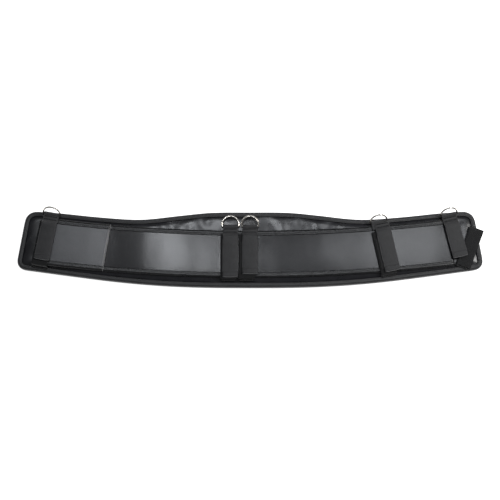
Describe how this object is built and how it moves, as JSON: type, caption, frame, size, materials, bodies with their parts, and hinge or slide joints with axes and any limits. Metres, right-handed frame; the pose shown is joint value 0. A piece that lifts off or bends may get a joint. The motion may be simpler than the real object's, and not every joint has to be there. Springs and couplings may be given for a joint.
{
  "type": "tool belt back support",
  "caption": "Contoured padded tool-belt back support with a wide front band, an overlap panel, webbing keepers for a belt and hanging D-rings.",
  "frame": {"origin": "middle of the body side of the pad, on its vertical midline, on the flat lining face", "axes": "+X along the belt to the wearer-facing picture's right, +Y to the belt's upper edge when worn, +Z away from the wearer, out of the face that carries the keepers"},
  "size_m": [0.7479, 0.1275, 0.035],
  "materials": {
    "mesh_lining": "air mesh, matte",
    "foam": "closed-cell foam",
    "face_vinyl": "glossy leatherette",
    "binding_tape": "woven bias tape",
    "band_fabric": "satin ballistic weave",
    "edge_tape": "woven binding tape",
    "webbing": "ribbed webbing",
    "pile": "hook-and-loop pile",
    "nickel_wire": "nickel plated"
  },
  "bodies": {
    "pad": {"body_lining": "mesh_lining", "foam_core": "foam", "face_panel": "face_vinyl", "edge_binding": "binding_tape", "front_band": "band_fabric", "front_band_top_tape": "edge_tape", "front_band_bottom_tape": "edge_tape", "overlap_panel": "band_fabric", "overlap_panel_top_tape": "edge_tape", "overlap_panel_bottom_tape": "edge_tape", "left_end_ring_tab": "webbing", "left_centre_ring_tab": "webbing", "right_centre_ring_tab": "webbing", "right_side_ring_tab": "webbing", "right_end_ring_tab": "webbing"},
    "left_end_ring": {"left_end_d_ring": "nickel_wire"},
    "left_end_front": {"left_end_front_strap": "webbing", "left_end_loop_pile": "pile"},
    "left_end_hook": {"left_end_hook_strap": "webbing", "left_end_hook_pile": "pile"},
    "left_centre_ring": {"left_centre_d_ring": "nickel_wire"},
    "left_centre_front": {"left_centre_front_strap": "webbing", "left_centre_loop_pile": "pile"},
    "left_centre_hook": {"left_centre_hook_strap": "webbing", "left_centre_hook_pile": "pile"},
    "right_centre_ring": {"right_centre_d_ring": "nickel_wire"},
    "right_centre_front": {"right_centre_front_strap": "webbing", "right_centre_loop_pile": "pile"},
    "right_centre_hook": {"right_centre_hook_strap": "webbing", "right_centre_hook_pile": "pile"},
    "right_side_ring": {"right_side_d_ring": "nickel_wire"},
    "right_side_front": {"right_side_front_strap": "webbing", "right_side_loop_pile": "pile"},
    "right_side_hook": {"right_side_hook_strap": "webbing", "right_side_hook_pile": "pile"},
    "right_end_ring": {"right_end_d_ring": "nickel_wire"},
    "right_end_front": {"right_end_front_strap": "webbing", "right_end_loop_pile": "pile"},
    "right_end_hook": {"right_end_hook_strap": "webbing", "right_end_hook_pile": "pile"}
  },
  "joints": [
    {"name": "left_end_ring_swing", "type": "hinge", "parent": "pad", "child": "left_end_ring", "pos_m": [-0.3176, 0.0564, 0.0196], "axis": [0.9848, -0.1736, 0], "range_deg": [-60, 30]},
    {"name": "left_end_front_lift", "type": "hinge", "parent": "pad", "child": "left_end_front", "pos_m": [-0.31908, 0.04803, 0.02215], "axis": [-0.9848, 0.1736, 0], "range_deg": [0, 90]},
    {"name": "left_end_hook_lift", "type": "hinge", "parent": "pad", "child": "left_end_hook", "pos_m": [-0.33305, -0.03125, 0.01275], "axis": [0.9848, -0.1736, 0], "range_deg": [0, 13.5]},
    {"name": "left_centre_ring_swing", "type": "hinge", "parent": "pad", "child": "left_centre_ring", "pos_m": [-0.0314, 0.0369, 0.0159], "axis": [1, 0, 0], "range_deg": [-4, 86]},
    {"name": "left_centre_front_lift", "type": "hinge", "parent": "pad", "child": "left_centre_front", "pos_m": [-0.0314, 0.0284, 0.01845], "axis": [-1, 0, 0], "range_deg": [0, 90]},
    {"name": "left_centre_hook_lift", "type": "hinge", "parent": "pad", "child": "left_centre_hook", "pos_m": [-0.0314, -0.0511, 0.01145], "axis": [1, 0, 0], "range_deg": [0, 13.5]},
    {"name": "right_centre_ring_swing", "type": "hinge", "parent": "pad", "child": "right_centre_ring", "pos_m": [0, 0.0369, 0.0159], "axis": [1, 0, 0], "range_deg": [-18, 72]},
    {"name": "right_centre_front_lift", "type": "hinge", "parent": "pad", "child": "right_centre_front", "pos_m": [0, 0.0284, 0.01845], "axis": [-1, 0, 0], "range_deg": [0, 90]},
    {"name": "right_centre_hook_lift", "type": "hinge", "parent": "pad", "child": "right_centre_hook", "pos_m": [0, -0.0511, 0.01145], "axis": [1, 0, 0], "range_deg": [0, 13.5]},
    {"name": "right_side_ring_swing", "type": "hinge", "parent": "pad", "child": "right_side_ring", "pos_m": [0.206, 0.0446, 0.0159], "axis": [0.9781, 0.2079, 0], "range_deg": [-60, 30]},
    {"name": "right_side_front_lift", "type": "hinge", "parent": "pad", "child": "right_side_front", "pos_m": [0.21168, 0.03712, 0.01845], "axis": [-0.9781, -0.2079, 0], "range_deg": [0, 90]},
    {"name": "right_side_hook_lift", "type": "hinge", "parent": "pad", "child": "right_side_hook", "pos_m": [0.22471, -0.04343, 0.01275], "axis": [0.9781, 0.2079, 0], "range_deg": [0, 13.5]},
    {"name": "right_end_ring_swing", "type": "hinge", "parent": "pad", "child": "right_end_ring", "pos_m": [0.319, 0.0559, 0.0159], "axis": [0.9736, 0.2284, 0], "range_deg": [-60, 30]},
    {"name": "right_end_front_lift", "type": "hinge", "parent": "pad", "child": "right_end_front", "pos_m": [0.32094, 0.04763, 0.01845], "axis": [-0.9736, -0.2284, 0], "range_deg": [0, 90]},
    {"name": "right_end_hook_lift", "type": "hinge", "parent": "pad", "child": "right_end_hook", "pos_m": [0.33892, -0.0303, 0.01275], "axis": [0.9336, -0.3584, 0], "range_deg": [0, 45]}
  ],
  "couplings": [
    {"joint": "left_end_hook_lift", "follows": "left_end_front_lift", "ratio": 0.15},
    {"joint": "left_centre_hook_lift", "follows": "left_centre_front_lift", "ratio": 0.15},
    {"joint": "right_centre_hook_lift", "follows": "right_centre_front_lift", "ratio": 0.15},
    {"joint": "right_side_hook_lift", "follows": "right_side_front_lift", "ratio": 0.15},
    {"joint": "right_end_hook_lift", "follows": "right_end_front_lift", "ratio": 0.5}
  ]
}
